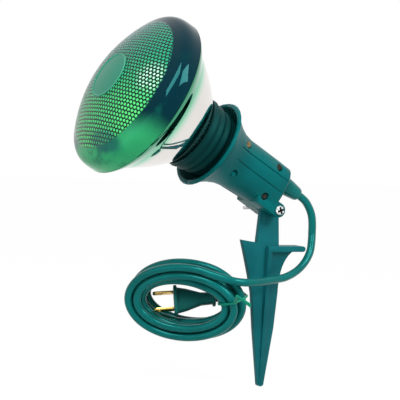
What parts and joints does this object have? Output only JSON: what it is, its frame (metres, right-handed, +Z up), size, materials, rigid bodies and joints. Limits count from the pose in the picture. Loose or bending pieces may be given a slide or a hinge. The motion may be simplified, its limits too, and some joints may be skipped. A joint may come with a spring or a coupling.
{
  "type": "light projector stake",
  "caption": "Plastic ground spike carrying a tilting two-shell lampholder with a coloured reflector flood lamp, wing nut clamp and coiled mains cord.",
  "frame": {"origin": "tip of the ground spike", "axes": "+Z up along the spike, +Y along the tilt axis towards the wing nut, the lamp looks towards -X and upwards"},
  "size_m": [0.1943, 0.121, 0.2673],
  "materials": {
    "housing_plastic": "semi-gloss moulded, teal green",
    "stake_plastic": "satin moulded, blue-green",
    "cord_jacket": "glossy vinyl",
    "plug_vinyl": "matte vinyl, dark green",
    "tie_plastic": "matte twist tie",
    "gasket_rubber": "matte rubber",
    "green_glass": "stippled pressed glass, green coated",
    "silvered_glass": "silvered pressed glass",
    "aluminium": "spun, satin",
    "brass": "plain",
    "zinc_steel": "zinc plated",
    "phenolic": "moulded black",
    "black_lead": "insulated wire",
    "white_lead": "insulated wire",
    "black_glass": "glassy insulator",
    "white_ceramic": "matte"
  },
  "bodies": {
    "stake_body": {"stake": "stake_plastic", "cord_coil": "cord_jacket", "cord_lead": "cord_jacket", "cord_tail": "cord_jacket", "cord_tie": "tie_plastic", "plug_body": "plug_vinyl", "plug_blade_hot": "brass", "plug_blade_neutral": "brass"},
    "head_body": {"housing_near": "housing_plastic", "housing_far": "housing_plastic", "rear_lower_screw": "brass", "rear_upper_screw": "brass", "front_lower_screw": "brass", "front_upper_screw": "brass", "tilt_screw": "zinc_steel", "strain_relief": "cord_jacket", "socket_body": "phenolic", "socket_shell": "brass", "centre_contact": "brass", "contact_rivet": "brass", "shell_rivet": "brass", "hot_lead": "black_lead", "neutral_lead": "white_lead", "gasket": "gasket_rubber"},
    "washer_body": {"tilt_washer": "zinc_steel"},
    "nut_body": {"wing_nut": "zinc_steel"},
    "lamp_tip_body": {"lamp_tip_contact": "brass", "lamp_insulator": "black_glass"},
    "lamp_body": {"lamp_lens": "green_glass", "lamp_reflector": "silvered_glass", "lamp_skirt": "aluminium", "lamp_base_shell": "brass", "lamp_stem": "white_ceramic", "lamp_post_left": "zinc_steel", "lamp_post_right": "zinc_steel", "lamp_filament": "zinc_steel"}
  },
  "joints": [
    {"name": "head_tilt", "type": "hinge", "parent": "stake_body", "child": "head_body", "pos_m": [0, 0, 0.134], "axis": [0, 1, 0], "range_deg": [-14, 60], "deforming": ["cord_lead"]},
    {"name": "nut_back_off", "type": "slide", "parent": "head_body", "child": "washer_body", "axis": [0, 1, 0], "range_m": [0, 0.0014]},
    {"name": "wing_nut_turn", "type": "hinge", "parent": "washer_body", "child": "nut_body", "pos_m": [0, 0.0159, 0.134], "axis": [0, 1, 0], "range_deg": [0, 720]},
    {"name": "lamp_advance", "type": "slide", "parent": "head_body", "child": "lamp_tip_body", "axis": [-0.878, 0, 0.4787], "range_m": [0, 0.0182]},
    {"name": "lamp_turn", "type": "hinge", "parent": "lamp_tip_body", "child": "lamp_body", "pos_m": [0.00414, 0, 0.14849], "axis": [-0.878, 0, 0.4787], "range_deg": [0, 1800]}
  ],
  "couplings": [
    {"joint": "wing_nut_turn", "follows": "nut_back_off", "rad_per_m": 8975},
    {"joint": "lamp_advance", "follows": "lamp_turn", "m_per_rad": 0.00057757}
  ]
}
